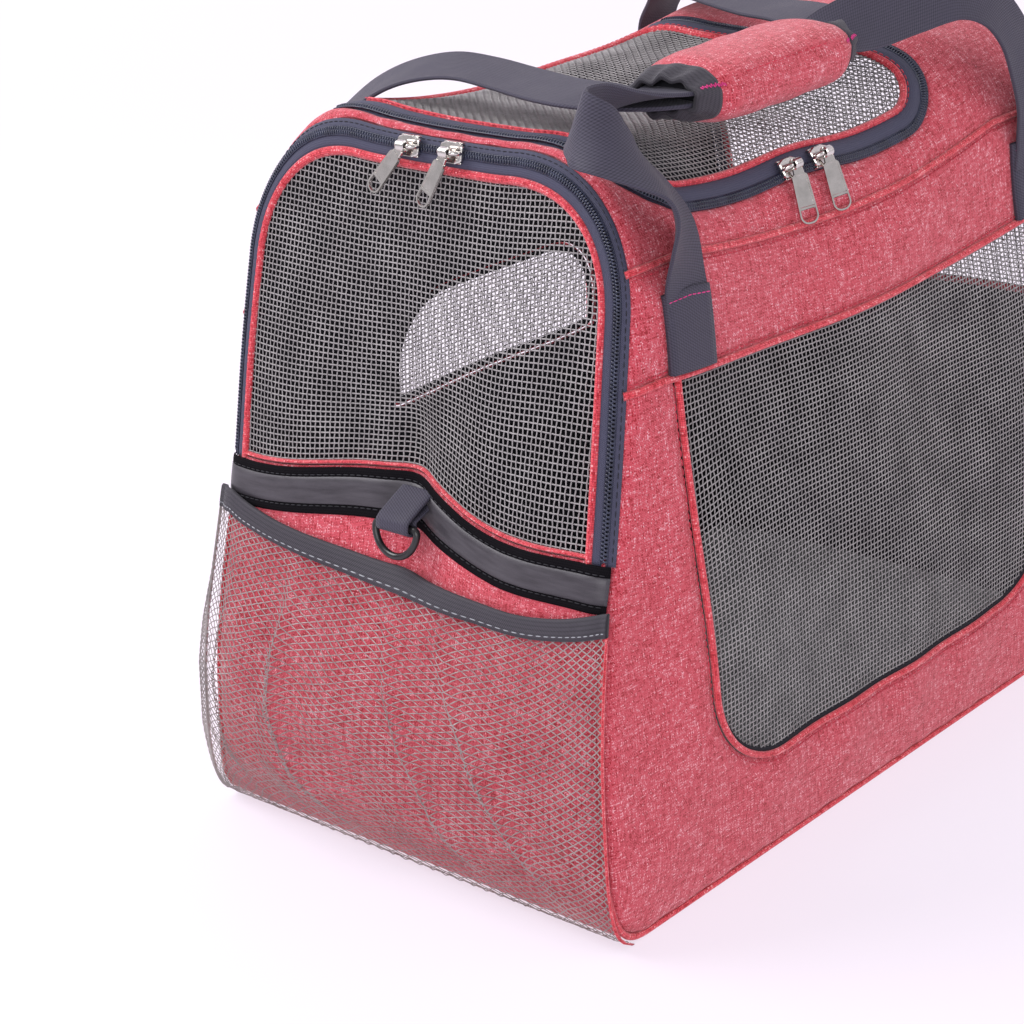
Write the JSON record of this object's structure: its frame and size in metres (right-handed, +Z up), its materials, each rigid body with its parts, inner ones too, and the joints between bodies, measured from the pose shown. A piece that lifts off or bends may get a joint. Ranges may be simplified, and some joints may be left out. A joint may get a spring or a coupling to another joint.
{
  "type": "pet carrier bag",
  "caption": "Soft zipped travel carrier for a small pet, with mesh end doors, mesh top flap, side windows, net pocket and two handles joined by a padded wrap",
  "frame": {"origin": "middle of the flat base, at floor level", "axes": "+Z up, +X along the bag towards the rear end, the front end with the pocket faces -X, the big side window faces -Y"},
  "size_m": [0.429, 0.24, 0.345],
  "materials": {
    "coral_fabric": "melange polyester, coral red with pale flecks",
    "coral_piping": "melange polyester binding",
    "window_mesh": "open coated mesh, warm grey",
    "pocket_net": "diamond net, greyish beige",
    "reflective_tape": "grey reflective tape with black edges",
    "zip_tape": "blue grey zip tape with dark coil",
    "webbing": "ribbed polypropylene webbing",
    "ribbed_binding": "elastic grosgrain binding",
    "zip_metal": "nickel plated zinc",
    "ring_metal": "black painted steel wire",
    "spring_wire": "spring steel",
    "base_board": "stiff base insert",
    "fleece": "short pile fleece"
  },
  "bodies": {
    "shell": {"near_side_panel": "coral_fabric", "near_window_mesh": "window_mesh", "near_window_piping": "coral_piping", "near_band": "coral_fabric", "near_seam_piping": "coral_piping", "near_top_piping": "coral_piping", "far_side_panel": "coral_fabric", "far_window_mesh": "window_mesh", "far_window_piping": "coral_piping", "far_band": "coral_fabric", "far_seam_piping": "coral_piping", "far_top_piping": "coral_piping", "bottom_panel": "coral_fabric", "base_board": "base_board", "front_lower_panel": "coral_fabric", "rear_lower_panel": "coral_fabric", "front_reflective_strip": "reflective_tape", "rear_reflective_strip": "reflective_tape", "front_opening_tape": "zip_tape", "rear_opening_tape": "zip_tape", "top_panel": "coral_fabric", "top_opening_tape": "zip_tape", "front_ring_tab": "webbing", "rear_ring_tab": "webbing", "near_handle_feet": "webbing", "far_handle_feet": "webbing", "pocket_net": "pocket_net", "pocket_binding": "ribbed_binding", "front_arch_wire": "spring_wire", "rear_arch_wire": "spring_wire"},
    "front_door": {"front_door_tape": "zip_tape", "front_door_binding": "coral_piping", "front_door_mesh": "window_mesh"},
    "rear_door": {"rear_door_tape": "zip_tape", "rear_door_binding": "coral_piping", "rear_door_mesh": "window_mesh"},
    "top_flap": {"top_flap_tape": "zip_tape", "top_flap_binding": "coral_piping", "top_flap_mesh": "window_mesh"},
    "front_slider_near": {"front_slider_near": "zip_metal"},
    "front_slider_far": {"front_slider_far": "zip_metal"},
    "rear_slider_near": {"rear_slider_near": "zip_metal"},
    "rear_slider_far": {"rear_slider_far": "zip_metal"},
    "top_slider_front": {"top_slider_front": "zip_metal"},
    "top_slider_rear": {"top_slider_rear": "zip_metal"},
    "front_pull_near": {"front_pull_near": "zip_metal"},
    "front_pull_far": {"front_pull_far": "zip_metal"},
    "rear_pull_near": {"rear_pull_near": "zip_metal"},
    "rear_pull_far": {"rear_pull_far": "zip_metal"},
    "top_pull_front": {"top_pull_front": "zip_metal"},
    "top_pull_rear": {"top_pull_rear": "zip_metal"},
    "front_d_ring": {"front_d_ring": "ring_metal"},
    "rear_d_ring": {"rear_d_ring": "ring_metal"},
    "floor_mat": {"floor_mat": "fleece"},
    "near_handle": {"near_handle": "webbing", "handle_wrap": "coral_fabric", "wrap_bindings": "ribbed_binding"},
    "far_handle": {"far_handle": "webbing"}
  },
  "joints": [
    {"name": "front_door_open", "type": "hinge", "parent": "shell", "child": "front_door", "pos_m": [-0.18525, 0, 0.172], "axis": [0, -1, 0], "range_deg": [0, 110]},
    {"name": "rear_door_open", "type": "hinge", "parent": "shell", "child": "rear_door", "pos_m": [0.18525, 0, 0.172], "axis": [0, 1, 0], "range_deg": [0, 110]},
    {"name": "top_flap_open", "type": "hinge", "parent": "shell", "child": "top_flap", "pos_m": [-0.03, 0.08, 0.30827], "axis": [-1, 0, 0], "range_deg": [0, 110], "deforming": ["near_handle", "far_handle", "handle_wrap", "wrap_bindings"]},
    {"name": "near_handle_swing", "type": "hinge", "parent": "shell", "child": "near_handle", "pos_m": [0, -0.1115, 0.26215], "axis": [1, 0, 0], "range_deg": [0, 165]},
    {"name": "far_handle_swing", "type": "hinge", "parent": "shell", "child": "far_handle", "pos_m": [0, 0.1115, 0.26215], "axis": [-1, 0, 0], "range_deg": [0, 165]},
    {"name": "front_slider_near_run", "type": "slide", "parent": "front_door", "child": "front_slider_near", "axis": [0, -1, 0], "range_m": [0, 0.03]},
    {"name": "front_pull_near_swing", "type": "hinge", "parent": "front_slider_near", "child": "front_pull_near", "pos_m": [-0.15832, -0.012, 0.31525], "axis": [0, 1, 0], "range_deg": [0, 150]},
    {"name": "front_slider_far_run", "type": "slide", "parent": "front_door", "child": "front_slider_far", "axis": [0, 1, 0], "range_m": [0, 0.03]},
    {"name": "front_pull_far_swing", "type": "hinge", "parent": "front_slider_far", "child": "front_pull_far", "pos_m": [-0.15832, 0.012, 0.31525], "axis": [0, 1, 0], "range_deg": [0, 150]},
    {"name": "rear_slider_near_run", "type": "slide", "parent": "rear_door", "child": "rear_slider_near", "axis": [0, -1, 0], "range_m": [0, 0.03]},
    {"name": "rear_pull_near_swing", "type": "hinge", "parent": "rear_slider_near", "child": "rear_pull_near", "pos_m": [0.15832, -0.012, 0.31525], "axis": [0, -1, 0], "range_deg": [0, 150]},
    {"name": "rear_slider_far_run", "type": "slide", "parent": "rear_door", "child": "rear_slider_far", "axis": [0, 1, 0], "range_m": [0, 0.03]},
    {"name": "rear_pull_far_swing", "type": "hinge", "parent": "rear_slider_far", "child": "rear_pull_far", "pos_m": [0.15832, 0.012, 0.31525], "axis": [0, -1, 0], "range_deg": [0, 150]},
    {"name": "top_slider_front_run", "type": "slide", "parent": "top_flap", "child": "top_slider_front", "axis": [-1, 0, 0], "range_m": [0, 0.06]},
    {"name": "top_slider_rear_run", "type": "slide", "parent": "top_flap", "child": "top_slider_rear", "axis": [1, 0, 0], "range_m": [0, 0.06]},
    {"name": "top_pull_front_swing", "type": "hinge", "parent": "top_slider_front", "child": "top_pull_front", "pos_m": [-0.042, -0.10167, 0.29391], "axis": [-1, 0, 0], "range_deg": [0, 150]},
    {"name": "top_pull_rear_swing", "type": "hinge", "parent": "top_slider_rear", "child": "top_pull_rear", "pos_m": [-0.02, -0.10167, 0.29391], "axis": [-1, 0, 0], "range_deg": [0, 150]},
    {"name": "front_d_ring_swing", "type": "hinge", "parent": "shell", "child": "front_d_ring", "pos_m": [-0.19247, 0, 0.16102], "axis": [0, 1, 0], "range_deg": [0, 100]},
    {"name": "rear_d_ring_swing", "type": "hinge", "parent": "shell", "child": "rear_d_ring", "pos_m": [0.19247, 0, 0.16102], "axis": [0, -1, 0], "range_deg": [0, 100]},
    {"name": "floor_mat_lift", "type": "slide", "parent": "shell", "child": "floor_mat", "axis": [0, 0, 1], "range_m": [0, 0.12]}
  ],
  "couplings": [
    {"joint": "near_handle_swing", "follows": "top_flap_open", "ratio": 1.5},
    {"joint": "far_handle_swing", "follows": "top_flap_open", "ratio": 1.5}
  ]
}
